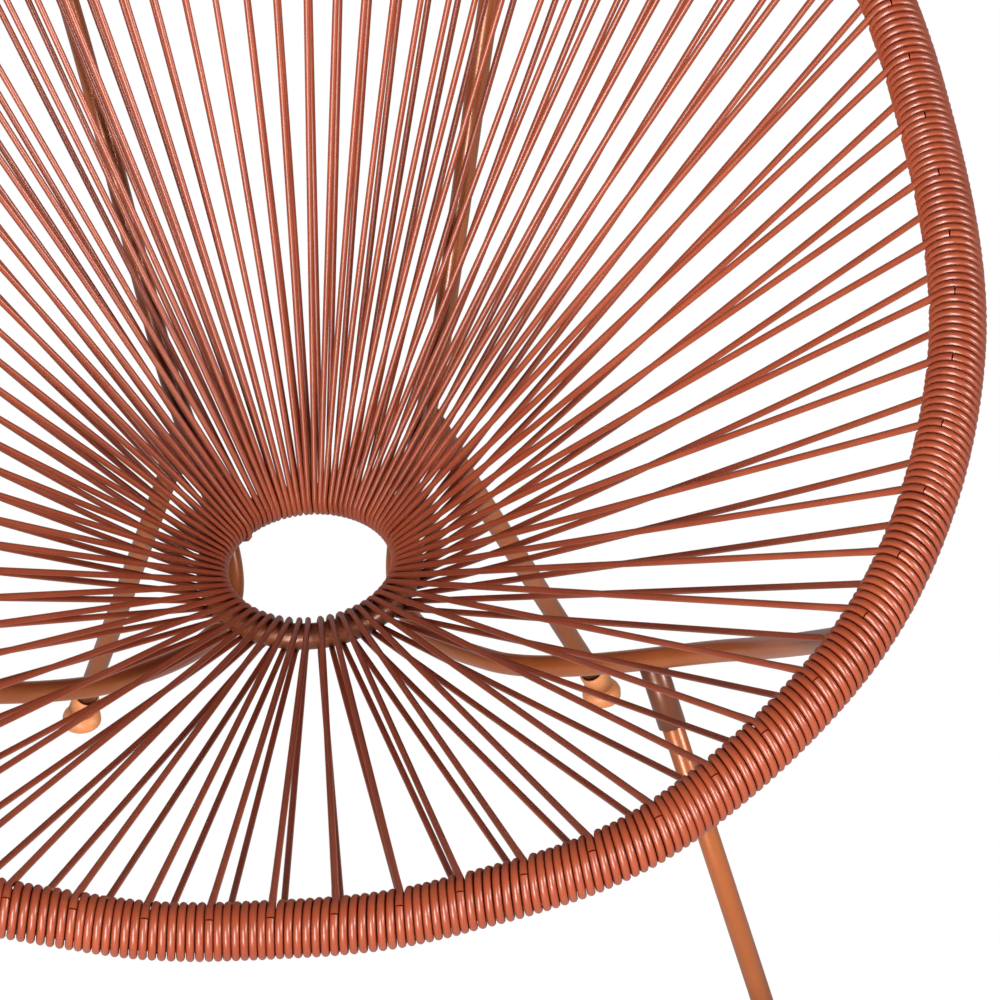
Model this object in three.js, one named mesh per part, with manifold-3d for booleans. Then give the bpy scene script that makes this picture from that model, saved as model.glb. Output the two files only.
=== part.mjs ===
import * as THREE from 'three';
import { mergeVertices } from 'three/addons/utils/BufferGeometryUtils.js';
import Module from 'manifold-3d';

// Patio chair: a steel hoop and a small steel ring, laced together with plastic cord, on a bent-tube
// frame with four legs. Millimetres, +Z up, front towards -Y, origin on the floor under the middle.

const wasm = await Module();
wasm.setup();

// Shared fits
const seatGap = 0.3;            // clearance between pieces that touch
const cutOverrun = 4;           // how far a cutting shape runs past what it cuts

// Hoop, the rim of the seat and back
const hoopHalfWidth = 380;      // tube centre line, side to middle
const hoopDepth = 796;          // front to back
const hoopFrontHeight = 374;
const hoopTopHeight = 840;
const hoopTubeRadius = 11;
const hoopSides = 8;
const hoopOutlineShares = [     // right half, front to back: across, along, up
  [0, 0, 0], [0.248, 0.002, 0.019], [0.558, 0.026, 0.094], [0.858, 0.135, 0.229], [0.996, 0.314, 0.365],
  [0.97, 0.533, 0.481], [0.868, 0.718, 0.586], [0.727, 0.864, 0.746], [0.439, 0.964, 0.919], [0, 1, 1],
];

// Ring round the hole in the middle of the seat
const ringRadius = 61;          // tube centre line
const ringTubeRadius = 8;
const ringHeight = 237;
const ringSetback = 75;         // behind the middle of the hoop
const ringTilt = 0.093;         // radians, back edge up
const ringSteps = 36;
const ringSides = 8;

// Cord lacing
const cordDiameter = 4.75;      // as wound on the hoop
const strandWidth = 3;          // side of a square whose corners reach past the round, stretched 3.9 mm cord
const loopCount = 76;           // times the cord runs to the ring and back
const loopsPerPanel = 4;
const ridgeDepth = 1.3;         // one ridge a loop stands for the turns between two loops
const ridgeShare = 0.25;        // place of the ridge in its loop
const landingShare = 0.62;      // where the strands meet the turns, from the hoop's side to its top
const loopSpacingShares = [0.0281, -0.0106, -0.0087, 0.0024];
const ringSpreadShares = [0.095, 0.011];
const bandThickness = 3.25;     // cord passing round the ring
const bandSides = 3;            // faces of the half turn round the ring

// Frame bars, one a side: hoop side, under the ring, up to the top of the hoop
const barRadius = 6.5;
const barSides = 8;
const barSteps = 32;
const barDrop = 40;             // bar centre line below the ring's
const armPlaceShare = 0.26;     // where the bar meets the hoop, as a share of the loops from front to back
const stayPlaceShare = 0.83;
const armReach = 251;           // bar centre line on its way from hoop to ring
const armAdvance = 125;         // in front of the middle
const armHeight = 321;
const kneeReach = 109;
const kneeAdvance = 10;
const kneeHeight = 226;
const lowReach = 51;
const lowSetback = 98;
const stayFootReach = 85;
const stayFootSetback = 178;
const stayFootHeight = 324;
const stayReach = 135;
const staySetback = 297;
const stayHeight = 540;

// Legs
const legRadius = 6.5;
const legWall = 1.2;
const legSides = 10;
const frontLegShare = 0.255;    // place along the bar
const rearLegShare = 0.554;
const frontFootReach = 275;
const frontFootAdvance = 164;
const rearFootReach = 170;
const rearFootSetback = 218;
const socketWall = 1.4;
const socketLength = 44;        // from the bar's centre line
const socketStartShare = 0.5;   // of the bar's radius, down from its centre line to the socket's top edge
const legInsertion = 28;        // leg inside its socket

// Leg screws
const screwRadius = 2.5;
const screwHeadRadius = 4.6;
const screwHeadHeight = 2.6;
const screwLength = 7;
const screwSides = 8;
const screwPlace = 34;          // along the leg from the bar's centre line

// Feet
const footRadius = 12.5;
const footHeight = 9;
const footEdge = 2.5;
const footFloor = 3;            // plastic under the end of the leg
const collarRadius = 8.6;
const collarLength = 17;
const footSides = 14;

const hoopRise = hoopTopHeight - hoopFrontHeight;
const sleeveRadius = hoopTubeRadius + seatGap + cordDiameter;
const bandBore = ringTubeRadius + 1.5 * seatGap;  // its flats run straight past the curved ring
const bandRadius = bandBore + bandThickness;

// Radius of a bore or clearance round a tube, out to its corners so that its flats clear the tube
function clearOf(radius, sides) {
  return (radius + seatGap) / Math.cos(Math.PI / sides);
}

function toSolid(geometry) {
  const bare = geometry.clone();
  bare.deleteAttribute('normal');
  bare.deleteAttribute('uv');
  const merged = mergeVertices(bare);
  return new wasm.Manifold(new wasm.Mesh({
    numProp: 3,
    vertProperties: new Float32Array(merged.attributes.position.array),
    triVerts: new Uint32Array(merged.index.array),
  }));
}

function toGeometry(solid) {
  const { vertProperties, triVerts } = solid.getMesh();
  const geometry = new THREE.BufferGeometry();
  geometry.setAttribute('position', new THREE.BufferAttribute(vertProperties, 3));
  geometry.setIndex(new THREE.BufferAttribute(triVerts, 1));
  geometry.computeVertexNormals();
  return geometry;
}

function circleShape(radius, sides) {
  const points = [];
  for (let i = 0; i < sides; i += 1) {
    const turn = (i / sides) * 2 * Math.PI;
    points.push(new THREE.Vector2(radius * Math.cos(turn), radius * Math.sin(turn)));
  }
  return new THREE.Shape(points);
}

function tubeAlong(path, radius, sides, steps) {
  const options = { steps, bevelEnabled: false, extrudePath: path, curveSegments: 1 };
  return new THREE.ExtrudeGeometry(circleShape(radius, sides), options);
}

// Turns a shape that was made along Y
function pointAlong(geometry, direction) {
  const turn = new THREE.Quaternion().setFromUnitVectors(new THREE.Vector3(0, 1, 0), direction);
  return geometry.applyQuaternion(turn);
}

function rodBetween(from, to, radius, sides) {
  const along = to.clone().sub(from);
  const rod = new THREE.CylinderGeometry(radius, radius, along.length(), sides, 1);
  pointAlong(rod, along.normalize());
  rod.translate(...from.clone().add(to).multiplyScalar(0.5).toArray());
  return rod;
}

// Closed skin built row by row on shared corners
class Skin {
  corners = [];

  faces = [];

  addRow(points) {
    const first = this.corners.length;
    this.corners.push(...points);
    return points.map((point, i) => first + i);
  }

  addQuad(a, b, c, d) {
    this.faces.push(a, b, c, a, c, d);
  }

  quadOf(row, next, i) {
    const j = (i + 1) % row.length;
    return [row[i], row[j], next[j], next[i]];
  }

  // Sides between two rows, apart from those that are left open
  joinRows(row, next, open = []) {
    row.forEach((corner, i) => {
      if (!open.includes(i)) this.addQuad(...this.quadOf(row, next, i));
    });
  }

  // Strip between two lines of corners, which may differ in number
  joinLines(line, next) {
    let [i, j] = [0, 0];
    while (i + 1 < line.length || j + 1 < next.length) {
      const onLine = (i + 0.5) / (line.length - 1) < (j + 0.5) / (next.length - 1);
      this.faces.push(line[i], next[j], onLine ? line[i + 1] : next[j + 1]);
      if (onLine) i += 1;
      else j += 1;
    }
  }

  // A side with a hole in it, given by its middle in shares and its size; returns the hole's corners
  addHole([a, b, c, d], acrossShare, alongShare, height, width) {
    const [start, end, , startNext] = [a, b, c, d].map((corner) => this.corners[corner]);
    const [u, v] = [height / 2 / start.distanceTo(end), width / 2 / start.distanceTo(startNext)];
    const place = (across, along) => {
      const near = this.corners[a].clone().lerp(this.corners[b], across);
      return near.lerp(this.corners[d].clone().lerp(this.corners[c], across), along);
    };
    const hole = this.addRow([
      place(acrossShare - u, alongShare - v), place(acrossShare + u, alongShare - v),
      place(acrossShare + u, alongShare + v), place(acrossShare - u, alongShare + v),
    ]);
    this.joinRows([a, b, c, d], hole);
    return hole;
  }

  // Flat end over a row
  addEnd(row, flipped) {
    const points = row.map((corner) => this.corners[corner]);
    const across = points[1].clone().sub(points[0]).normalize();
    const normal = new THREE.Vector3();
    for (let i = 1; i + 1 < points.length; i += 1) {
      const edge = points[i].clone().sub(points[0]);
      normal.add(edge.cross(points[i + 1].clone().sub(points[0])));
    }
    const up = normal.normalize().cross(across);
    const flat = points.map((point) => {
      const offset = point.clone().sub(points[0]);
      return new THREE.Vector2(offset.dot(across), offset.dot(up));
    });
    for (const [a, b, c] of THREE.ShapeUtils.triangulateShape(flat, [])) {
      this.faces.push(...(flipped ? [row[a], row[c], row[b]] : [row[a], row[b], row[c]]));
    }
  }

  toGeometry() {
    const geometry = new THREE.BufferGeometry().setFromPoints(this.corners);
    return geometry.setIndex(this.faces);
  }
}

// Hoop centre line, starting at the front
function hoopCurve() {
  const place = ([across, along, up]) => new THREE.Vector3(
    hoopHalfWidth * across,
    hoopDepth * (along - 0.5),
    hoopFrontHeight + hoopRise * up,
  );
  const right = hoopOutlineShares.map(place);
  const left = right.slice(1, -1).reverse().map((point) => new THREE.Vector3(-point.x, point.y, point.z));
  const curve = new THREE.CatmullRomCurve3([...right, ...left], true, 'catmullrom', 0.5);
  curve.arcLengthDivisions = 3000;
  return curve;
}

const hoop = hoopCurve();
const halfLoops = loopCount / 2;

// Way from the front to the back, 0 to 1, at a loop counted from the front, with its uneven spacing
function wayAt(loop, waveShares) {
  const even = loop / halfLoops;
  return waveShares.reduce((way, wave, i) => way + wave * Math.sin((i + 1) * Math.PI * even), even);
}

function hoopShareAt(loop) {
  return THREE.MathUtils.euclideanModulo(wayAt(loop, loopSpacingShares) / 2, 1);
}

function ringAngleAt(loop) {
  return Math.PI * wayAt(loop, ringSpreadShares);
}

function hoopPointAt(loop) {
  return hoop.getPointAt(hoopShareAt(loop));
}

function hoopDirectionAt(loop) {
  return hoop.getTangentAt(hoopShareAt(loop));
}

const ringMiddle = new THREE.Vector3(0, ringSetback, ringHeight);
const ringTurn = new THREE.Matrix4().makeRotationX(ringTilt);

function ringPointAt(loop) {
  const angle = ringAngleAt(loop);
  const offset = new THREE.Vector3(ringRadius * Math.sin(angle), -ringRadius * Math.cos(angle), 0);
  return offset.applyMatrix4(ringTurn).add(ringMiddle);
}

function ringDirectionAt(loop) {
  const angle = ringAngleAt(loop);
  return new THREE.Vector3(Math.cos(angle), Math.sin(angle), 0).applyMatrix4(ringTurn);
}

// Directions at one loop: outwards along the strands, and up off the hoop and off the ring
function loopFrameAt(loop) {
  const rim = hoopPointAt(loop);
  const ring = ringPointAt(loop);
  const outwards = rim.clone().sub(ring).normalize();
  const upFrom = (direction) => outwards.clone().cross(direction).normalize();
  return { rim, ring, outwards, rimUp: upFrom(hoopDirectionAt(loop)), ringUp: upFrom(ringDirectionAt(loop)) };
}

// Section round the hoop's centre line, turned to the strands that leave it
function hoopSection(loop, radius, shift = 0) {
  const along = hoopDirectionAt(loop);
  const { rim, rimUp } = loopFrameAt(loop);
  const side = rimUp.clone().cross(along).normalize();
  const up = along.clone().cross(side).normalize();
  const middle = rim.addScaledVector(along, shift);
  const points = [];
  for (let i = 0; i < hoopSides; i += 1) {
    const turn = ((i + 0.5) / hoopSides) * 2 * Math.PI;
    const point = middle.clone().addScaledVector(side, radius * Math.cos(turn));
    points.push(point.addScaledVector(up, radius * Math.sin(turn)));
  }
  return points;
}

function hoopTubeOf(radius) {
  const skin = new Skin();
  const rows = [];
  for (let loop = 0; loop < loopCount; loop += 1) {
    rows.push(skin.addRow(hoopSection(loop - halfLoops + 0.5, radius)));
  }
  rows.forEach((row, i) => skin.joinRows(row, rows[(i + 1) % rows.length]));
  return toSolid(skin.toGeometry());
}

// Half turn round the inside of the ring: outer arc from bottom to top, then back along the bore
function bandSection(loop, shift) {
  const { ring, ringUp } = loopFrameAt(loop);
  const along = ringDirectionAt(loop);
  const out = along.clone().cross(ringUp);
  const middle = ring.addScaledVector(along, shift);
  const points = [];
  for (const [radius, start] of [[bandRadius, -1], [bandBore, 1]]) {
    const corner = radius / Math.cos(Math.PI / bandSides / 2);
    for (let i = 0; i <= bandSides; i += 1) {
      const turn = start * (Math.PI / 2 - (i / bandSides) * Math.PI);
      const point = middle.clone().addScaledVector(out, -corner * Math.cos(turn));
      points.push(point.addScaledVector(ringUp, corner * Math.sin(turn)));
    }
  }
  return points;
}

// Panel of cord: turns on the hoop, the strands that leave them, and the half turns round the ring
function cordPanel(first) {
  const skin = new Skin();
  const from = first - 0.5;
  const steps = [...Array(loopsPerPanel + 1).keys()];
  const shiftAt = (step) => (step === 0 ? seatGap / 2 : step === loopsPerPanel ? -seatGap / 2 : 0);
  const valley = sleeveRadius - ridgeDepth;
  const bore = clearOf(hoopTubeRadius, hoopSides);
  const valleyRows = steps.map((step) => skin.addRow(hoopSection(from + step, valley, shiftAt(step))));
  const boreRows = steps.map((step) => skin.addRow(hoopSection(from + step, bore, shiftAt(step))));
  const bandRows = steps.map((step) => skin.addRow(bandSection(from + step, shiftAt(step))));
  const rimFaces = { upper: 0, lower: hoopSides - 2 };
  const bandFaces = { upper: bandSides, lower: 2 * bandSides + 1 };
  const boreFaces = [...Array(bandSides).keys()].map((i) => bandSides + 1 + i);
  const rimWidth = strandWidth / Math.cos((2 * Math.PI) / hoopSides);
  const rimAlong = (0.5 - ridgeShare) / (1 - ridgeShare);
  for (let step = 0; step < loopsPerPanel; step += 1) {
    const crest = skin.addRow(hoopSection(from + step + ridgeShare, sleeveRadius));
    skin.joinRows(valleyRows[step], crest);
    skin.joinRows(crest, valleyRows[step + 1], Object.values(rimFaces));
    skin.joinRows(boreRows[step + 1], boreRows[step]);
    skin.joinRows(bandRows[step], bandRows[step + 1], [...Object.values(bandFaces), ...boreFaces]);
    for (const level of ['upper', 'lower']) {
      const rimQuad = skin.quadOf(crest, valleyRows[step + 1], rimFaces[level]);
      const ringQuad = skin.quadOf(bandRows[step], bandRows[step + 1], bandFaces[level]);
      const rimAcross = level === 'upper' ? landingShare : 1 - landingShare;
      const rimHole = skin.addHole(rimQuad, rimAcross, rimAlong, rimWidth, strandWidth);
      const [a, b, c, d] = skin.addHole(ringQuad, 0.5, 0.5, strandWidth, strandWidth);
      skin.joinRows(rimHole, [b, a, d, c]);
    }
  }
  // The ring's bore runs straight through the panel between its two edges
  const boreLines = [...boreFaces, boreFaces.at(-1) + 1].map((corner, i) => {
    const line = bandRows.map((row) => row[corner]);
    return i % bandSides === 0 ? line : [line[0], line.at(-1)];
  });
  boreLines.slice(1).forEach((line, i) => skin.joinLines(boreLines[i], line));
  skin.joinRows(boreRows[0], valleyRows[0]);
  skin.joinRows(valleyRows[loopsPerPanel], boreRows[loopsPerPanel]);
  skin.addEnd(bandRows[0], true);
  skin.addEnd(bandRows[loopsPerPanel], false);
  let panel = toSolid(skin.toGeometry());
  for (const clearance of barClearances) panel = panel.subtract(clearance);
  return panel;
}

// Bars
function barCurve(side) {
  const at = (across, along, up) => new THREE.Vector3(side * across, along, up);
  const arm = hoopPointAt(side * armPlaceShare * halfLoops);
  const top = hoopPointAt(side * stayPlaceShare * halfLoops);
  const curve = new THREE.CatmullRomCurve3([
    arm,
    at(armReach, -armAdvance, armHeight),
    at(kneeReach, -kneeAdvance, kneeHeight),
    at(lowReach, lowSetback, ringHeight - barDrop),
    at(stayFootReach, stayFootSetback, stayFootHeight),
    at(stayReach, staySetback, stayHeight),
    top,
  ], false, 'centripetal');
  curve.arcLengthDivisions = 1000;
  return curve;
}

const sides = { right: 1, left: -1 };
const barCurves = Object.fromEntries(Object.entries(sides).map(([name, side]) => [name, barCurve(side)]));
const hoopTube = hoopTubeOf(hoopTubeRadius);
const hoopClearance = hoopTubeOf(clearOf(hoopTubeRadius, hoopSides));
const barClearances = Object.values(barCurves).map((curve) => (
  toSolid(tubeAlong(curve, clearOf(barRadius, barSides), barSides, barSteps))));

function frameBar(curve) {
  return toSolid(tubeAlong(curve, barRadius, barSides, barSteps)).subtract(hoopClearance);
}

function steelRing(radius) {
  const ring = new THREE.TorusGeometry(ringRadius, radius, ringSides, ringSteps);
  ring.rotateX(ringTilt);
  ring.translate(0, ringSetback, ringHeight);
  return toSolid(ring);
}

// Legs, sockets, screws and feet, on the line from the bar to the foot
function legLine(curve, side, share, footReach, footSetback) {
  const top = curve.getPointAt(share);
  const foot = new THREE.Vector3(side * footReach, footSetback, footHeight);
  const down = foot.clone().sub(top).normalize();
  const at = (distance) => top.clone().addScaledVector(down, distance);
  const screwSide = new THREE.Vector3(0, -1, 0);
  screwSide.addScaledVector(down, -screwSide.dot(down)).normalize();
  return { top, foot, down, at, length: foot.distanceTo(top), screwSide };
}

function screwHole(line, radius) {
  const middle = line.at(screwPlace);
  const end = middle.clone().addScaledVector(line.screwSide, -(legRadius + cutOverrun));
  return toSolid(rodBetween(middle, end, radius, screwSides));
}

function legTube(line) {
  const from = line.at(socketLength - legInsertion);
  const to = line.at(line.length - footFloor);
  const past = line.at(line.length + cutOverrun);
  const over = line.at(0);
  const tube = toSolid(rodBetween(from, to, legRadius, legSides));
  const bore = toSolid(rodBetween(over, past, legRadius - legWall, legSides));
  return tube.subtract(bore).subtract(screwHole(line, clearOf(screwRadius, screwSides)));
}

function legSocket(line, clearance) {
  const outer = legRadius + seatGap + socketWall;
  const start = line.at(barRadius * socketStartShare);
  const body = toSolid(rodBetween(start, line.at(socketLength), outer, legSides));
  const past = line.at(socketLength + cutOverrun);
  const bore = toSolid(rodBetween(line.top, past, clearOf(legRadius, legSides), legSides));
  return body.subtract(bore).subtract(clearance).subtract(screwHole(line, clearOf(screwRadius, screwSides)));
}

function legScrew(line) {
  const seat = legRadius + seatGap + socketWall + seatGap;
  const profile = [
    [0, -screwHeadHeight], [screwHeadRadius * 0.6, -screwHeadHeight],
    [screwHeadRadius, -screwHeadHeight * 0.4], [screwHeadRadius, 0],
    [screwRadius, 0], [screwRadius, screwLength], [0, screwLength],
  ].map(([radius, height]) => new THREE.Vector2(radius, height));
  const screw = new THREE.LatheGeometry(profile, screwSides);
  pointAlong(screw, line.screwSide);
  screw.translate(...line.at(screwPlace).addScaledVector(line.screwSide, -seat).toArray());
  return toSolid(screw);
}

function footCap(line) {
  const profile = [
    [0, 0], [footRadius - footEdge, 0], [footRadius, footEdge], [footRadius, footHeight - footEdge],
    [footRadius - footEdge, footHeight], [0, footHeight],
  ].map(([radius, height]) => new THREE.Vector2(radius, height));
  const base = new THREE.LatheGeometry(profile, footSides);
  base.rotateX(Math.PI / 2);
  base.translate(line.foot.x, line.foot.y, 0);
  const collar = rodBetween(line.at(line.length - collarLength), line.foot, collarRadius, footSides);
  const bore = rodBetween(line.at(line.length - 2 * collarLength), line.at(line.length - footFloor + seatGap),
    clearOf(legRadius, legSides), legSides);
  return toSolid(base).add(toSolid(collar)).subtract(toSolid(bore));
}

// Finishes
const finish = (color, roughness, metalness) => () => (
  new THREE.MeshStandardMaterial({ color, roughness, metalness }));
const paintedSteel = finish(0x9a5a3c, 0.42, 0.35);
const wovenCord = finish(0xb85a3a, 0.45, 0);
const footPlastic = finish(0x9c5c3e, 0.5, 0);
const zincSteel = finish(0x8d8880, 0.35, 0.9);

const group = new THREE.Group();

function addPart(name, solid, material) {
  const mesh = new THREE.Mesh(toGeometry(solid), material);
  mesh.name = name;
  group.add(mesh);
}

addPart('hoop_tube', hoopTube, paintedSteel());
addPart('seat_ring', steelRing(ringTubeRadius), paintedSteel());
Object.entries(barCurves).forEach(([name, curve], i) => {
  addPart(`frame_bar_${name}`, frameBar(curve), paintedSteel());
  const lines = {
    front: legLine(curve, sides[name], frontLegShare, frontFootReach, -frontFootAdvance),
    rear: legLine(curve, sides[name], rearLegShare, rearFootReach, rearFootSetback),
  };
  for (const [place, line] of Object.entries(lines)) {
    addPart(`socket_${place}_${name}`, legSocket(line, barClearances[i]), paintedSteel());
    addPart(`leg_${place}_${name}`, legTube(line), paintedSteel());
    addPart(`leg_screw_${place}_${name}`, legScrew(line), zincSteel());
    addPart(`foot_${place}_${name}`, footCap(line), footPlastic());
  }
});
for (let panel = 0; panel * loopsPerPanel < loopCount; panel += 1) {
  const name = `cord_panel_${String(panel + 1).padStart(2, '0')}`;
  addPart(name, cordPanel(panel * loopsPerPanel - halfLoops), wovenCord());
}

export default group;
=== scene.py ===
import math
import random

import bmesh
import bpy
import numpy as np
from mathutils import Matrix, Vector


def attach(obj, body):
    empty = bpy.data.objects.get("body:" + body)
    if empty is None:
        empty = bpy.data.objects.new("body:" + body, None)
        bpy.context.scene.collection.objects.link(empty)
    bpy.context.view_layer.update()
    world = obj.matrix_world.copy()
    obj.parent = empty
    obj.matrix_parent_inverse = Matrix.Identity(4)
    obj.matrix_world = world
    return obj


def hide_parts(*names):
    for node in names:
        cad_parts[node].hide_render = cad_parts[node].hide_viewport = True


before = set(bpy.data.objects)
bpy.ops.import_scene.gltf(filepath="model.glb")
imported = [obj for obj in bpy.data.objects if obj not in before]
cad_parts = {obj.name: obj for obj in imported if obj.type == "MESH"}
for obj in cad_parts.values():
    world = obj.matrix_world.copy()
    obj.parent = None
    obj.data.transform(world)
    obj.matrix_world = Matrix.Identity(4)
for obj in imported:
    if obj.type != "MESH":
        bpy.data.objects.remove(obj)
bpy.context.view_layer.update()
mm = 0.001
rng = random.Random(7)


# Camera and stage

shot = {
    "place": (212.3, -2539.9, 2340.3),  # mm
    "yaw": 0.036,                       # radians, left of straight on
    "pitch": 0.667,                     # down
    "roll": -0.072,
    "lens": 199.5,
    "sensor": 36,
}


def makeCamera():
    camera = bpy.data.objects.new("camera", bpy.data.cameras.new("camera"))
    bpy.context.scene.collection.objects.link(camera)
    camera.data.lens = shot["lens"]
    camera.data.sensor_width = shot["sensor"]
    camera.data.clip_end = 100
    yaw, pitch, roll = shot["yaw"], shot["pitch"], shot["roll"]
    ahead = Vector((-math.sin(yaw) * math.cos(pitch), math.cos(yaw) * math.cos(pitch), -math.sin(pitch)))
    right = Vector((math.cos(yaw), math.sin(yaw), 0))
    up = right.cross(ahead)
    across = right * math.cos(roll) + up * math.sin(roll)
    above = up * math.cos(roll) - right * math.sin(roll)
    turn = Matrix((across, above, -ahead)).transposed().to_4x4()
    camera.matrix_world = Matrix.Translation(Vector(shot["place"]) * mm) @ turn
    bpy.context.scene.camera = camera


studio = {
    "floorSize": 40,             # m
    "floorColour": (0.4, 0.4, 0.4),
    "whiteShare": 0.95,          # how much of the floor is plain white to the camera
    "whiteLight": 1.045,
    "mirroredShare": 0.25,       # how bright that white is in reflections
    "skyColour": (1.0, 0.985, 0.97),
    "skyLight": 0.035,
    "key": {"place": (-2.6, -6.4, 4.2), "size": 1.4, "power": 430, "colour": (1.0, 0.97, 0.94)},
    "low": {"place": (-1.6, -5.8, 0.9), "size": 2.0, "power": 300, "colour": (1.0, 0.97, 0.94)},
    "side": {"place": (4.8, -2.4, 2.8), "size": 1.6, "power": 230, "colour": (1.0, 0.98, 0.95)},
    "back": {"place": (-0.8, 6.4, 1.3), "size": 2.4, "power": 190, "colour": (1.0, 0.98, 0.95)},
    "aim": (0, 0, 0.42),
}


def cameraRays(tree):
    # 1 for what the camera sees itself or through glass, less for what it sees in a reflection
    light = tree.nodes.new("ShaderNodeLightPath")
    seen = light.outputs["Is Camera Ray"]
    for ray, share in (("Is Glossy Ray", studio["mirroredShare"]), ("Is Transmission Ray", 1)):
        part = tree.nodes.new("ShaderNodeMath")
        part.operation = "MULTIPLY"
        part.inputs[1].default_value = share
        tree.links.new(light.outputs[ray], part.inputs[0])
        either = tree.nodes.new("ShaderNodeMath")
        either.operation = "MAXIMUM"
        tree.links.new(seen, either.inputs[0])
        tree.links.new(part.outputs[0], either.inputs[1])
        seen = either.outputs[0]
    return seen


def makeFloor():
    mesh = bpy.data.meshes.new("floor")
    bm = bmesh.new()
    bmesh.ops.create_grid(bm, x_segments=1, y_segments=1, size=studio["floorSize"] / 2)
    bm.to_mesh(mesh)
    bm.free()
    floor = bpy.data.objects.new("floor", mesh)
    bpy.context.scene.collection.objects.link(floor)
    material = bpy.data.materials.new("whiteFloor")
    material.use_nodes = True
    tree = material.node_tree
    matte = tree.nodes["Principled BSDF"]
    matte.inputs["Base Color"].default_value = (*studio["floorColour"], 1)
    matte.inputs["Roughness"].default_value = 0.9
    matte.inputs["Specular IOR Level"].default_value = 0.1
    white = tree.nodes.new("ShaderNodeEmission")
    white.inputs["Strength"].default_value = studio["whiteLight"]
    share = tree.nodes.new("ShaderNodeMath")
    share.operation = "MULTIPLY"
    share.inputs[1].default_value = studio["whiteShare"]
    tree.links.new(cameraRays(tree), share.inputs[0])
    mix = tree.nodes.new("ShaderNodeMixShader")
    tree.links.new(share.outputs[0], mix.inputs[0])
    tree.links.new(matte.outputs[0], mix.inputs[1])
    tree.links.new(white.outputs[0], mix.inputs[2])
    tree.links.new(mix.outputs[0], tree.nodes["Material Output"].inputs["Surface"])
    mesh.materials.append(material)


def makeSky():
    world = bpy.data.worlds.new("studio")
    bpy.context.scene.world = world
    world.use_nodes = True
    tree = world.node_tree
    sky = tree.nodes["Background"]
    sky.inputs["Color"].default_value = (*studio["skyColour"], 1)
    sky.inputs["Strength"].default_value = studio["skyLight"]
    white = tree.nodes.new("ShaderNodeBackground")
    white.inputs["Color"].default_value = (1, 1, 1, 1)
    white.inputs["Strength"].default_value = 1
    mix = tree.nodes.new("ShaderNodeMixShader")
    tree.links.new(cameraRays(tree), mix.inputs[0])
    tree.links.new(sky.outputs[0], mix.inputs[1])
    tree.links.new(white.outputs[0], mix.inputs[2])
    tree.links.new(mix.outputs[0], tree.nodes["World Output"].inputs["Surface"])


def makeLamp(name):
    lamp = studio[name]
    light = bpy.data.lights.new(name, "AREA")
    light.shape = "DISK"
    light.size = lamp["size"]
    light.energy = lamp["power"]
    light.color = lamp["colour"]
    holder = bpy.data.objects.new(name, light)
    bpy.context.scene.collection.objects.link(holder)
    holder.visible_glossy = name != "back"  # no glare past the strands
    holder.location = lamp["place"]
    aim = Vector(studio["aim"]) - Vector(lamp["place"])
    holder.rotation_euler = aim.to_track_quat("-Z", "Y").to_euler()


makeCamera()
makeFloor()
makeSky()
for lampName in ("key", "low", "side", "back"):
    makeLamp(lampName)
bpy.context.scene.view_settings.view_transform = "Standard"
print("camera, floor and lamps are in place")


# Materials

def newMaterial(name):
    material = bpy.data.materials.new(name)
    material.use_nodes = True
    return material, material.node_tree, material.node_tree.nodes["Principled BSDF"]


def noiseAt(tree, scale, detail):
    place = tree.nodes.new("ShaderNodeTexCoord")
    speckle = tree.nodes.new("ShaderNodeTexNoise")
    speckle.inputs["Scale"].default_value = scale
    speckle.inputs["Detail"].default_value = detail
    tree.links.new(place.outputs["Object"], speckle.inputs["Vector"])
    return speckle.outputs["Fac"]


def rampBetween(tree, factor, stops):
    ramp = tree.nodes.new("ShaderNodeValToRGB")
    first, last = ramp.color_ramp.elements
    first.position, last.position = stops[0][0], stops[-1][0]
    first.color, last.color = (*stops[0][1], 1), (*stops[-1][1], 1)
    for position, colour in stops[1:-1]:
        ramp.color_ramp.elements.new(position).color = (*colour, 1)
    tree.links.new(factor, ramp.inputs["Fac"])
    return ramp.outputs["Color"]


def rangeBetween(tree, factor, low, high):
    span = tree.nodes.new("ShaderNodeMapRange")
    span.inputs["To Min"].default_value = low
    span.inputs["To Max"].default_value = high
    tree.links.new(factor, span.inputs["Value"])
    return span.outputs["Result"]


def bumpFrom(tree, shader, height, strength, distance):
    bump = tree.nodes.new("ShaderNodeBump")
    bump.inputs["Strength"].default_value = strength
    bump.inputs["Distance"].default_value = distance
    tree.links.new(height, bump.inputs["Height"])
    tree.links.new(bump.outputs["Normal"], shader.inputs["Normal"])


cordFinish = {
    "colours": [(0.3, (0.3, 0.047, 0.013)), (0.55, (0.34, 0.06, 0.019)), (0.75, (0.385, 0.075, 0.026))],
    # Painted shade: reach and ramp of the darkening where cord lies close to cord or tube
    "shadeReach": 0.005, "creaseShadeRamp": [(0.2, (0.36, 0.12, 0.05)), (0.75, (1, 1, 1))],
    "roughness": (0.30, 0.40),
    "shine": 0.8,
    "patch": 26, "grain": 2600,  # noise scales, per metre
    "bump": 0.08, "grainDepth": 0.0002,
}
# Samples for the painted crease shade
shadeSamples = 6


def paintedCreaseShade(tree, colour, own):
    # Painted shade: base colour darkened where cord and tubes lie close together
    occlusion = tree.nodes.new("ShaderNodeAmbientOcclusion")
    occlusion.samples = shadeSamples
    occlusion.inputs["Distance"].default_value = own["shadeReach"]
    mix = tree.nodes.new("ShaderNodeMix")
    mix.data_type = "RGBA"
    mix.blend_type = "MULTIPLY"
    mix.inputs[0].default_value = 1
    tree.links.new(colour, mix.inputs[6])
    tree.links.new(rampBetween(tree, occlusion.outputs["AO"], own["creaseShadeRamp"]), mix.inputs[7])
    return mix.outputs[2]


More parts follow.
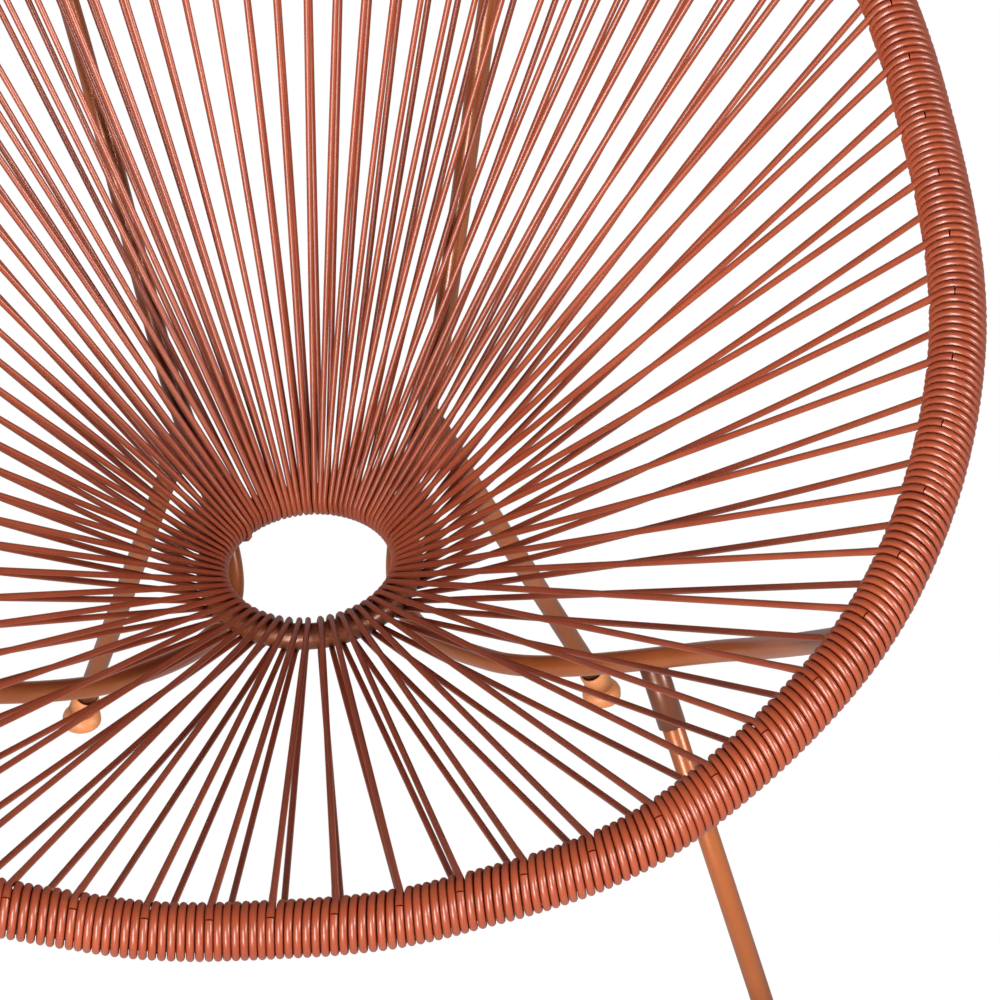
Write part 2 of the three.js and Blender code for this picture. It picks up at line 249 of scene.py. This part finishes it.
def cordMaterial():
    material, tree, shader = newMaterial("cordPlastic")
    patches = noiseAt(tree, cordFinish["patch"], detail=4)
    # Cord colour with painted shade in its creases
    colour = paintedCreaseShade(tree, rampBetween(tree, patches, cordFinish["colours"]), cordFinish)
    tree.links.new(colour, shader.inputs["Base Color"])
    grain = noiseAt(tree, cordFinish["grain"], detail=2)
    tree.links.new(rangeBetween(tree, grain, *cordFinish["roughness"]), shader.inputs["Roughness"])
    bumpFrom(tree, shader, grain, cordFinish["bump"], cordFinish["grainDepth"])
    shader.inputs["Specular IOR Level"].default_value = cordFinish["shine"]
    return material


paintFinish = {
    "colours": [(0.3, (0.32, 0.082, 0.02)), (0.52, (0.39, 0.105, 0.027)), (0.75, (0.46, 0.135, 0.038))],
    # Painted shade: reach and ramp of the darkening where paint lies close to cord or other tubes
    "shadeReach": 0.03, "creaseShadeRamp": [(0.4, (0.1, 0.07, 0.06)), (0.9, (1, 1, 1))],
    # Painted shade: the same paint at about a third of the brightness, for the sockets in the hoop's shadow
    "shadedSocketColours": [(0.3, (0.1, 0.024, 0.008)), (0.52, (0.13, 0.033, 0.011)), (0.75, (0.17, 0.045, 0.015))],
    "roughness": (0.28, 0.44),
    "patch": 14, "peel": 480,    # noise scales, per metre
    "bump": 0.18, "peelDepth": 0.0004,
    "metallic": 0.25, "coat": 0.25, "coatRoughness": 0.18,
}


def paintMaterial(name, colours):
    material, tree, shader = newMaterial(name)
    patches = noiseAt(tree, paintFinish["patch"], detail=5)
    # Paint colour with painted shade in its creases
    colour = paintedCreaseShade(tree, rampBetween(tree, patches, colours), paintFinish)
    tree.links.new(colour, shader.inputs["Base Color"])
    peel = noiseAt(tree, paintFinish["peel"], detail=3)
    tree.links.new(rangeBetween(tree, patches, *paintFinish["roughness"]), shader.inputs["Roughness"])
    bumpFrom(tree, shader, peel, paintFinish["bump"], paintFinish["peelDepth"])
    shader.inputs["Metallic"].default_value = paintFinish["metallic"]
    shader.inputs["Coat Weight"].default_value = paintFinish["coat"]
    shader.inputs["Coat Roughness"].default_value = paintFinish["coatRoughness"]
    return material


plasticFinish = {
    "colours": [(0.3, (0.56, 0.19, 0.065)), (0.7, (0.68, 0.26, 0.1))],
    "roughness": 0.45,
    "patch": 60, "grain": 1300,
    "bump": 0.2, "grainDepth": 0.0003,
}


def plasticMaterial():
    material, tree, shader = newMaterial("footPlastic")
    patches = noiseAt(tree, plasticFinish["patch"], detail=4)
    tree.links.new(rampBetween(tree, patches, plasticFinish["colours"]), shader.inputs["Base Color"])
    grain = noiseAt(tree, plasticFinish["grain"], detail=2)
    bumpFrom(tree, shader, grain, plasticFinish["bump"], plasticFinish["grainDepth"])
    shader.inputs["Roughness"].default_value = plasticFinish["roughness"]
    return material


zincFinish = {
    "colours": [(0.3, (0.4, 0.39, 0.36)), (0.7, (0.62, 0.6, 0.56))],
    "roughness": (0.25, 0.5),
    "wear": 300, "bump": 0.1, "wearDepth": 0.0002,
}


def screwMaterial():
    material, tree, shader = newMaterial("zincSteel")
    wear = noiseAt(tree, zincFinish["wear"], detail=5)
    tree.links.new(rampBetween(tree, wear, zincFinish["colours"]), shader.inputs["Base Color"])
    tree.links.new(rangeBetween(tree, wear, *zincFinish["roughness"]), shader.inputs["Roughness"])
    bumpFrom(tree, shader, wear, zincFinish["bump"], zincFinish["wearDepth"])
    shader.inputs["Metallic"].default_value = 1.0
    return material


cordPlastic = cordMaterial()
copperPaint = paintMaterial("copperPaint", paintFinish["colours"])
# Painted shade: a darkened copy of the copper paint for the sockets
shadedSocketPaint = paintMaterial("shadedSocketPaint", paintFinish["shadedSocketColours"])
footPlastic = plasticMaterial()
zincSteel = screwMaterial()
print("the finishes are mixed")


# Shared lines of the frame, in mm

hoop = {
    "halfWidth": 379.2, "depth": 796, "frontHeight": 374, "topHeight": 840, "radius": 11, "steps": 160,
    "outline": [  # right half, front to back, in shares: across, along, up
        (0, 0, 0), (0.248, 0.002, 0.019), (0.558, 0.026, 0.094), (0.858, 0.135, 0.229), (0.996, 0.314, 0.365),
        (0.97, 0.533, 0.481), (0.868, 0.718, 0.586), (0.727, 0.864, 0.746), (0.439, 0.964, 0.919), (0, 1, 1),
    ],
}
ring = {"radius": 61, "tube": 8, "height": 237, "setback": 75, "tilt": 0.093}
lacing = {
    "loops": 76, "loopsPerPanel": 4,
    "rimWaves": (0.0281, -0.0106, -0.0087, 0.0024),
    "ringWaves": (0.095, 0.011),
    "woundRadius": 2.36, "strandRadius": 1.93, "ringRadius": 1.8,
    "offTube": 0.12,             # air between tube and cord, mm
    "pitch": 4.8,                # along the hoop from turn to turn
    "turnSteps": 20, "sides": 3,
    "cuffAngle": 0.72,           # how far over the hoop the strand's cuff reaches, radians
    "cuffSwell": 0.12,           # how much thicker the cuff ends, mm
    "buttGap": 0.025,            # from the cuff's end to the first turn, radians
    "slant": [(0, 0), (110, 1.7), (480, 2.3), (640, 0)],  # distance from the front, lean of the turns, mm
    "wander": 0.7,               # unevenness of the loops along the hoop, mm
    "gaps": [(29.6, 7), (-28.5, 7)],  # strands pushed apart at a loop, mm each way
    "gapReach": 5,               # loops over which that fades
    "stretchShares": [0, 0.012, 0.028, 0.05, 0.2, 0.4, 0.6, 0.8],  # places along a strand, from the hoop
    "ringSteps": 10,
    "ringJitter": 0.12,          # unevenness of the loops round the ring, in loops
    "firstMeasured": -2,         # loop of the first of these places along the hoop, mm off the even one
    "measured": (3, 2.6, 0.6, 0, 0.5, -1.3, -1.6, 0.2, 2.2, 1.5, -1.7, -1.7, 2.8, 1.0, 0.2, 0.2, -0.3, 0.5,
                 -3.2, -1.5, -1.1, 1.1, 2.4),
    "proudLoop": -25, "proud": 2.2,  # loop that stands off the ring, mm
    "ringShare": 0.2,            # half the width of a loop's turn round the ring
}
halfLoops = lacing["loops"] / 2


def hoopTable():
    # Centre line as a closed uniform Catmull-Rom curve, with its length so far
    rise = hoop["topHeight"] - hoop["frontHeight"]
    right = [(hoop["halfWidth"] * x, hoop["depth"] * (y - 0.5), hoop["frontHeight"] + rise * z)
             for x, y, z in hoop["outline"]]
    left = [(-x, y, z) for x, y, z in reversed(right[1:-1])]
    knots = np.array(right + left)
    share = np.linspace(0, 1, hoop["steps"], endpoint=False)[:, None]
    rows = []
    for i in range(len(knots)):
        a, b, c, d = (knots[(i + step) % len(knots)] for step in (-1, 0, 1, 2))
        rows.append(0.5 * (2 * b + (c - a) * share + (2 * a - 5 * b + 4 * c - d) * share ** 2
                           + (3 * b - a - 3 * c + d) * share ** 3))
    points = np.vstack([*rows, knots[:1]])
    lengths = np.concatenate([[0], np.cumsum(np.linalg.norm(np.diff(points, axis=0), axis=1))])
    return points, lengths


hoopPoints, hoopLengths = hoopTable()
hoopLength = hoopLengths[-1]


def unit(vectors):
    return vectors / np.linalg.norm(vectors, axis=-1, keepdims=True)


def waves(turn, terms):
    return turn + sum(term * np.sin((i + 1) * np.pi * turn) for i, term in enumerate(terms))


def wanderTable():
    # How far each loop lies from its even place, from half round on the left to half round on the right
    offsets = np.array([rng.uniform(-1, 1) * lacing["wander"] for _ in range(lacing["loops"] + 1)])
    first = int(halfLoops) + lacing["firstMeasured"]
    offsets[first:first + len(lacing["measured"])] = lacing["measured"]
    # The stays hold the strands beside them apart
    for place, width in lacing["gaps"]:
        away = np.arange(len(offsets)) - halfLoops - place
        offsets += np.sign(away) * width * np.clip(1 - (np.abs(away) - 0.5) / lacing["gapReach"], 0, 1)
    offsets[-1] = offsets[0]
    return offsets


wander = wanderTable()


def hoopDistanceAt(loop):
    loop = np.asarray(loop, float)
    even = hoopLength * waves(loop / halfLoops, lacing["rimWaves"]) / 2
    return even + np.interp(loop, np.arange(len(wander)) - halfLoops, wander)


def leanAt(loop, angle):
    # Shift of a turn along the hoop, none at the top, most at the bottom
    distance = hoopDistanceAt(loop)
    lean = np.interp(np.abs(distance), *zip(*lacing["slant"])) * np.sign(distance)
    return lean * (np.cos(angle) - 1)


def hoopAt(distance):
    along = np.mod(distance, hoopLength)
    return np.stack([np.interp(along, hoopLengths, hoopPoints[:, axis]) for axis in range(3)], axis=-1)


def ringTurned(vectors):
    c, s = math.cos(ring["tilt"]), math.sin(ring["tilt"])
    x, y, z = vectors[..., 0], vectors[..., 1], vectors[..., 2]
    return np.stack([x, y * c - z * s, y * s + z * c], axis=-1)


def loopFrame(loop, shift=0):
    # Places and directions at a loop counted from the front: on the hoop, and on the ring
    loop = np.asarray(loop, float)
    distance = hoopDistanceAt(loop) + shift
    rim = hoopAt(distance)
    along = unit(hoopAt(distance + 1) - hoopAt(distance - 1))
    angle = np.pi * waves(loop / halfLoops, lacing["ringWaves"])
    still = np.zeros_like(angle)
    middle = np.array([0, ring["setback"], ring["height"]])
    spoke = ringTurned(np.stack([np.sin(angle), -np.cos(angle), still], axis=-1))
    ringPoint = middle + ring["radius"] * spoke
    ringAlong = ringTurned(np.stack([np.cos(angle), np.sin(angle), still], axis=-1))
    outwards = unit(rim - ringPoint)
    rimUp = unit(np.cross(outwards, along))
    ringUp = unit(np.cross(outwards, ringAlong))
    return {
        "rim": rim, "up": rimUp, "side": unit(np.cross(rimUp, along)), "along": along,
        "ring": ringPoint, "ringUp": ringUp, "ringOut": unit(np.cross(ringAlong, ringUp)),
    }


# Cord lacing: each loop is wound on the hoop, runs under to the ring, half round it and back over the top

def tubeCurve(name, radius, sides, material):
    curve = bpy.data.curves.new(name, "CURVE")
    curve.dimensions = "3D"
    curve.bevel_depth = radius
    curve.bevel_resolution = sides
    curve.materials.append(material)
    return curve


def addLine(curve, points):
    line = curve.splines.new("POLY")
    line.points.add(len(points) - 1)
    line.points.foreach_set("co", np.column_stack([np.array(points) * mm, np.ones(len(points))]).ravel())
    line.use_smooth = True
    return line


def curvePiece(name, curve, replaced):
    # The curve's tube as a mesh piece
    holder = bpy.data.objects.new(name, curve)
    bpy.context.scene.collection.objects.link(holder)
    bpy.context.view_layer.update()
    mesh = bpy.data.meshes.new_from_object(holder.evaluated_get(bpy.context.evaluated_depsgraph_get()))
    mesh.name = name
    bpy.data.objects.remove(holder)
    bpy.data.curves.remove(curve)
    return addPiece(name, mesh, replaced)


def tubeObject(name, splines, sides, material, replaced):
    # splines: (points in mm, radii in mm)
    curve = tubeCurve(name, mm, sides, material)
    curve.use_fill_caps = True
    for points, radii in splines:
        line = addLine(curve, points)
        line.points.foreach_set("radius", np.asarray(radii, float))
    return curvePiece(name, curve, replaced)


def addPiece(name, mesh, replaced):
    piece = bpy.data.objects.new(name, mesh)
    bpy.context.scene.collection.objects.link(piece)
    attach(piece, "root")
    if replaced:
        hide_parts(*replaced)
    return piece


def turnsBetween(loop):
    # Whole turns of cord on the hoop from one loop to the next
    gap = hoopDistanceAt(loop + 1) - hoopDistanceAt(loop)
    return int(round(float(gap) / lacing["pitch"]))


woundAt = hoop["radius"] + lacing["woundRadius"] + lacing["offTube"]


def roundTube(where, angle):
    # Direction off the hoop at each angle, 0 at the top
    return where["up"] * np.cos(angle)[:, None] - where["side"] * np.sin(angle)[:, None]


def windingPoints(loop, start, end, steps):
    # Turns that follow a loop's strand back towards the loop before, from one angle to another, 0 at the top
    turns = turnsBetween(loop - 1)
    angle = np.linspace(start, end, steps)
    places = loop - angle / (2 * np.pi * turns)
    where = loopFrame(places, leanAt(places, angle))
    return where["rim"] + woundAt * roundTube(where, angle)


def halfwayAngle(loop):
    return 2 * np.pi * (turnsBetween(loop) // 2) + np.pi


def stepsFor(angle):
    return max(4, int(abs(angle) / (2 * np.pi) * lacing["turnSteps"]) + 1)


def strandSpline(loop):
    # From the underside of the hoop to the ring, round it, back to the top of the hoop and into the cuff
    lowLoop = loop + 0.5 / turnsBetween(loop)
    leaving = loopFrame(lowLoop, leanAt(lowLoop, np.pi))
    arriving = loopFrame(loop)
    low = leaving["rim"] - leaving["up"] * woundAt
    high = arriving["rim"] + arriving["up"] * woundAt
    jitter = rng.uniform(-lacing["ringJitter"], lacing["ringJitter"])
    halfTurn = np.linspace(0, np.pi, lacing["ringSteps"])
    places = loopFrame(loop + jitter + lacing["ringShare"] * (halfTurn / np.pi * 2 - 1))
    ringRadius = ring["tube"] + lacing["ringRadius"] + lacing["offTube"]
    if loop == lacing["proudLoop"]:
        ringRadius += lacing["proud"] * np.sin(halfTurn)[:, None]
    round_ = places["ring"] - ringRadius * (places["ringUp"] * np.cos(halfTurn)[:, None]
                                             + places["ringOut"] * np.sin(halfTurn)[:, None])
    share = np.array(lacing["stretchShares"])[:, None]
    under = low + (round_[0] - low) * share
    over = round_[-1] + (high - round_[-1]) * (1 - share[::-1])
    cuffAngle = np.linspace(0, lacing["cuffAngle"], 6)[1:]
    cuffLoop = loop - cuffAngle / (2 * np.pi * turnsBetween(loop - 1))
    cuffPlace = loopFrame(cuffLoop, leanAt(cuffLoop, cuffAngle))
    cuff = cuffPlace["rim"] + woundAt * roundTube(cuffPlace, cuffAngle)
    points = np.vstack([under, round_, over, cuff])
    thin, full = lacing["strandRadius"], lacing["woundRadius"]
    radii = np.full(len(points), thin)
    # Full width at the hoop, drawn thin within a few centimetres
    radii[:4] = [full, full * 0.97, (full + thin) / 2, thin * 1.05]
    radii[-9:-5] = [thin * 1.04, thin * 1.12, (full + thin) / 2, full * 0.95]
    radii[-5:] = np.linspace(full, full + lacing["cuffSwell"], 5)
    radii[len(under):len(under) + len(round_)] = lacing["ringRadius"]
    return points, radii


def lacingPanel(panel):
    first = panel * lacing["loopsPerPanel"] - int(halfLoops)
    splines = []
    for loop in range(first, first + lacing["loopsPerPanel"]):
        start, leave = halfwayAngle(loop), 2 * np.pi * turnsBetween(loop) - np.pi
        incoming = windingPoints(loop + 1, start, leave, stepsFor(leave - start))
        begin, end = lacing["cuffAngle"] + lacing["buttGap"], halfwayAngle(loop - 1)
        outgoing = windingPoints(loop, begin, end, stepsFor(end - begin))
        splines.append((incoming, np.full(len(incoming), lacing["woundRadius"])))
        splines.append(strandSpline(loop))
        splines.append((outgoing, np.full(len(outgoing), lacing["woundRadius"])))
    number = f"{panel + 1:02d}"
    tubeObject(f"lacing_{number}", splines, lacing["sides"], cordPlastic, [f"cord_panel_{number}"])


for panel in range(lacing["loops"] // lacing["loopsPerPanel"]):
    lacingPanel(panel)
print("the hoop and ring are laced")


# Hoop and ring tubes

def closedTube(name, points, radius, replaced):
    curve = tubeCurve(name, radius * mm, 6, copperPaint)
    addLine(curve, points).use_cyclic_u = True
    return curvePiece(name, curve, replaced)


hoopLine = hoopAt(np.linspace(0, hoopLength, 240, endpoint=False))
ringLine = loopFrame(np.linspace(-halfLoops, halfLoops, 96, endpoint=False))["ring"]
closedTube("hoopTube", hoopLine, hoop["radius"], ["hoop_tube"])
closedTube("seatRing", ringLine, ring["tube"], ["seat_ring"])
print("the hoop and ring are closed")


# Frame bars

bar = {
    "radius": 6.5, "armLoop": 9.88, "stayLoop": 31.54, "steps": 500,
    "weldDepth": 1,              # how far the ends reach into the hoop's tube
    "beads": [(7.5, 1.6, 1.5), (11, 1.2, 0.5)],  # weld at the hoop: distance, width, height
    "bends": [(251, -125, 321), (109, -10, 226), (51, 98, 197), (85, 178, 324), (135, 297, 540)],
}


def centripetal(knots, steps):
    # Open centripetal Catmull-Rom curve through the knots
    knots = [np.array(knot, float) for knot in knots]
    knots = [2 * knots[0] - knots[1], *knots, 2 * knots[-1] - knots[-2]]
    rows = []
    count = len(knots) - 3
    for place in np.linspace(0, count, steps):
        i = min(int(place), count - 1)
        weight = place - i
        a, b, c, d = knots[i:i + 4]
        before, here, after = (np.linalg.norm(q - p) ** 0.5 for p, q in ((a, b), (b, c), (c, d)))
        slopeB = ((b - a) / before - (c - a) / (before + here) + (c - b) / here) * here
        slopeC = ((c - b) / here - (d - b) / (here + after) + (d - c) / after) * here
        rows.append(b + slopeB * weight + (3 * c - 3 * b - 2 * slopeB - slopeC) * weight ** 2
                    + (2 * b - 2 * c + slopeB + slopeC) * weight ** 3)
    return np.array(rows)


def barLine(side):
    bends = [(side * x, y, z) for x, y, z in bar["bends"]]
    ends = [hoopAt(side * hoopLength * waves(bar[key] / halfLoops, lacing["rimWaves"]) / 2)
            for key in ("armLoop", "stayLoop")]
    return centripetal([ends[0], *bends, ends[1]], bar["steps"])


def pointAlong(line, share):
    lengths = np.concatenate([[0], np.cumsum(np.linalg.norm(np.diff(line, axis=0), axis=1))])
    return np.array([np.interp(share * lengths[-1], lengths, line[:, axis]) for axis in range(3)])


def makeBar(name, side):
    line = barLine(side)
    fromHoop = np.linalg.norm(line - line[0], axis=1)
    fromTop = np.linalg.norm(line - line[-1], axis=1)
    inside = hoop["radius"] - bar["weldDepth"]
    kept = line[(fromHoop > inside) & (fromTop > inside)]
    radii = np.full(len(kept), bar["radius"], float)
    for reach, width, height in bar["beads"]:
        radii += height * np.exp(-((np.linalg.norm(kept - kept[0], axis=1) - reach) / width) ** 2)
    tubeObject(f"frameBar{name.capitalize()}", [(kept, radii)], 7, copperPaint,
               [f"frame_bar_{name}"])
    return line


# Legs with their sockets, screws and feet

leg = {
    "radius": 6.5, "wall": 1.2, "steps": 32,
    "front": {"share": 0.255, "foot": (275, -164)},
    "rear": {"share": 0.554, "foot": (170, 218)},
    "socketWall": 1.4, "socketLength": 44, "insertion": 28, "clearance": 0.3, "footFloor": 3,
    "socketStart": 0.5,          # of the bar's radius, down from its centre line
}
foot = {"radius": 12.5, "height": 9, "collar": 8.6, "collarLength": 17, "steps": 48}
screw = {"place": 34, "head": 4.6, "headHeight": 2.6, "radius": 2.5, "length": 7, "steps": 24}


def turnedMesh(name, profile, steps, start, axis, material):
    # profile: (radius, height) in mm, turned round the axis; closed if it ends where it starts
    bm = bmesh.new()
    verts = [bm.verts.new((radius * mm, 0, height * mm)) for radius, height in profile]
    edges = [bm.edges.new(pair) for pair in zip(verts, verts[1:])]
    if profile[0][0] > 0:
        edges.append(bm.edges.new((verts[-1], verts[0])))
    bmesh.ops.spin(bm, geom=verts + edges, cent=(0, 0, 0), axis=(0, 0, 1), angle=2 * math.pi, steps=steps,
                   use_merge=True)
    bmesh.ops.remove_doubles(bm, verts=bm.verts, dist=1e-6)
    bmesh.ops.recalc_face_normals(bm, faces=bm.faces)
    turn = Vector((0, 0, 1)).rotation_difference(Vector(axis)).to_matrix().to_4x4()
    bmesh.ops.transform(bm, matrix=Matrix.Translation(Vector(start) * mm) @ turn, verts=bm.verts)
    for face in bm.faces:
        face.smooth = True
    mesh = bpy.data.meshes.new(name)
    bm.to_mesh(mesh)
    bm.free()
    mesh.materials.append(material)
    return mesh


def legMesh(name, top, down, length):
    inner, outer = leg["radius"] - leg["wall"], leg["radius"]
    start = leg["socketLength"] - leg["insertion"]
    end = length - leg["footFloor"] - start
    profile = [(outer, 0.4), (outer - 0.4, 0), (inner, 0), (inner, end), (outer, end)]
    return turnedMesh(name, profile, leg["steps"], top + down * start, down, copperPaint)


def socketMesh(name, top, down):
    bore = leg["radius"] + leg["clearance"]
    outer = bore + leg["socketWall"]
    begin, end = bar["radius"] * leg["socketStart"], leg["socketLength"]
    profile = [(bore, begin), (outer - 0.3, begin), (outer, begin + 0.3), (outer, end - 0.5),
               (outer - 0.5, end), (bore + 0.3, end), (bore, end - 0.3)]
    # The socket gets the copy of the paint with painted shade
    return turnedMesh(name, profile, leg["steps"], top, down, shadedSocketPaint)


def footMesh(name, sole, down):
    base = [(0, 0), (foot["radius"] - 1.2, 0), (foot["radius"] - 0.3, 0.5), (foot["radius"], 1.6),
            (foot["radius"], foot["height"] - 3.5), (foot["radius"] - 0.8, foot["height"] - 1.6),
            (foot["radius"] - 2.6, foot["height"] - 0.3), (foot["collar"] + 1, foot["height"]),
            (0, foot["height"])]
    mesh = turnedMesh(name, base, foot["steps"], (sole[0], sole[1], 0), (0, 0, 1), footPlastic)
    bore, outer, end = leg["radius"] + leg["clearance"], foot["collar"], foot["collarLength"]
    collar = [(bore, leg["footFloor"]), (bore, end - 0.4), (bore + 0.5, end), (outer - 0.7, end),
              (outer, end - 0.9), (outer, 2)]
    collarMesh = turnedMesh("collar", collar, foot["steps"], sole, -down, footPlastic)
    both = bmesh.new()
    both.from_mesh(mesh)
    both.from_mesh(collarMesh)
    both.to_mesh(mesh)
    both.free()
    return mesh


def screwMesh(name, top, down):
    # On the rear face of the socket
    backward = unit(np.array([0, 1, 0]) - down * down[1])
    offLeg = leg["radius"] + 2 * leg["clearance"] + leg["socketWall"]
    head, height = screw["head"], screw["headHeight"]
    profile = [(0, height), (head * 0.6, height), (head * 0.88, height * 0.75), (head, height * 0.3),
               (head, 0), (screw["radius"], 0), (screw["radius"], -screw["length"]), (0, -screw["length"])]
    seat = top + down * screw["place"] + backward * offLeg
    return turnedMesh(name, profile, screw["steps"], seat, backward, zincSteel)


def makeLeg(where, name, side, line):
    own = leg[where]
    top = pointAlong(line, own["share"])
    sole = np.array([side * own["foot"][0], own["foot"][1], foot["height"]])
    length = np.linalg.norm(sole - top)
    down = (sole - top) / length
    tag = f"{where.capitalize()}{name.capitalize()}"
    node = f"{where}_{name}"
    addPiece(f"leg{tag}", legMesh(f"leg{tag}", top, down, length), [f"leg_{node}"])
    addPiece(f"socket{tag}", socketMesh(f"socket{tag}", top, down), [f"socket_{node}"])
    addPiece(f"foot{tag}", footMesh(f"foot{tag}", sole, down), [f"foot_{node}"])
    addPiece(f"legScrew{tag}", screwMesh(f"legScrew{tag}", top, down), [f"leg_screw_{node}"])


for sideName, sideSign in (("right", 1), ("left", -1)):
    barCentre = makeBar(sideName, sideSign)
    for legPlace in ("front", "rear"):
        makeLeg(legPlace, sideName, sideSign, barCentre)
print("the frame, legs and feet are in place")
